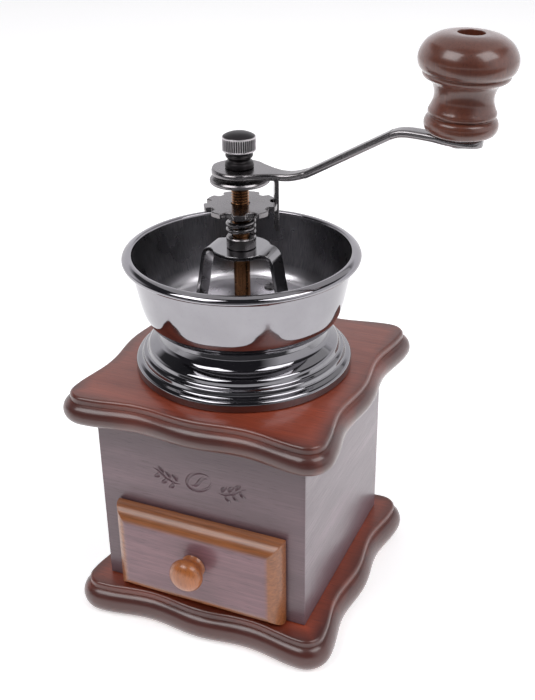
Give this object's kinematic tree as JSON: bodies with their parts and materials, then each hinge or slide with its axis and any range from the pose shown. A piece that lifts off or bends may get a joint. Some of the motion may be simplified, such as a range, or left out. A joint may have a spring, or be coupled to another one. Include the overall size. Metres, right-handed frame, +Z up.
{
  "type": "hand-cranked burr coffee grinder",
  "caption": "Wooden box coffee mill with a chrome hopper, a cranked burr spindle, a notched grind adjuster and a pull-out drawer.",
  "frame": {"origin": "middle of the base's flat underside, under the spindle", "axes": "+Z up along the spindle, -Y the way the drawer pulls out, +X the way the crank points at rest"},
  "size_m": [0.1761, 0.135, 0.2719],
  "materials": {
    "moulding_wood": "semi-gloss stained",
    "case_wood": "satin stained",
    "drawer_wood": "satin stained",
    "handle_wood": "gloss lacquer",
    "plain_wood": "bare",
    "chrome": "polished",
    "dark_nickel": "dark polished",
    "steel": "satin",
    "bronze": "aged",
    "cast_iron": "machined"
  },
  "bodies": {
    "root": {"base_plate": "moulding_wood", "top_plate": "moulding_wood", "front_panel": "case_wood", "back_panel": "case_wood", "left_panel": "case_wood", "right_panel": "case_wood", "drawer_guide_left": "plain_wood", "drawer_guide_right": "plain_wood", "base_ring": "chrome", "hopper_bowl": "chrome", "burr_ring": "cast_iron", "lower_bearing_bar": "steel", "bridge_bracket": "chrome", "spindle_bushing": "dark_nickel", "bridge_rivet_left": "steel", "bridge_rivet_right": "steel", "mounting_screw_1": "steel", "mounting_screw_2": "steel", "mounting_screw_3": "steel", "base_screw_front_left": "steel", "base_screw_front_right": "steel", "base_screw_back_left": "steel", "base_screw_back_right": "steel"},
    "adjuster": {"star_wheel": "dark_nickel", "adjuster_spring": "steel"},
    "spindle": {"spindle": "bronze", "inner_burr": "cast_iron", "burr_nut": "steel", "lock_plate": "dark_nickel", "crank_washer": "steel", "crank_arm": "dark_nickel", "knob_pin": "steel", "knob_washer": "steel", "thumb_nut": "dark_nickel"},
    "knob": {"crank_knob": "handle_wood"},
    "drawer": {"drawer_front": "drawer_wood", "drawer_side_left": "plain_wood", "drawer_side_right": "plain_wood", "drawer_back": "plain_wood", "drawer_bottom": "plain_wood", "drawer_knob": "drawer_wood", "drawer_knob_screw": "steel"}
  },
  "joints": [
    {"name": "crank_spin", "type": "hinge", "parent": "root", "child": "adjuster", "pos_m": [0, 0, 0.19], "axis": [0, 0, 1], "continuous": true},
    {"name": "grind_setting", "type": "slide", "parent": "adjuster", "child": "spindle", "axis": [0, 0, 1], "range_m": [-0.002, 0.001]},
    {"name": "knob_spin", "type": "hinge", "parent": "spindle", "child": "knob", "pos_m": [0.0925, 0, 0.23111], "axis": [0.0454, 0, 0.999], "continuous": true},
    {"name": "drawer_slide", "type": "slide", "parent": "root", "child": "drawer", "axis": [0, -1, 0], "range_m": [0, 0.075]}
  ]
}
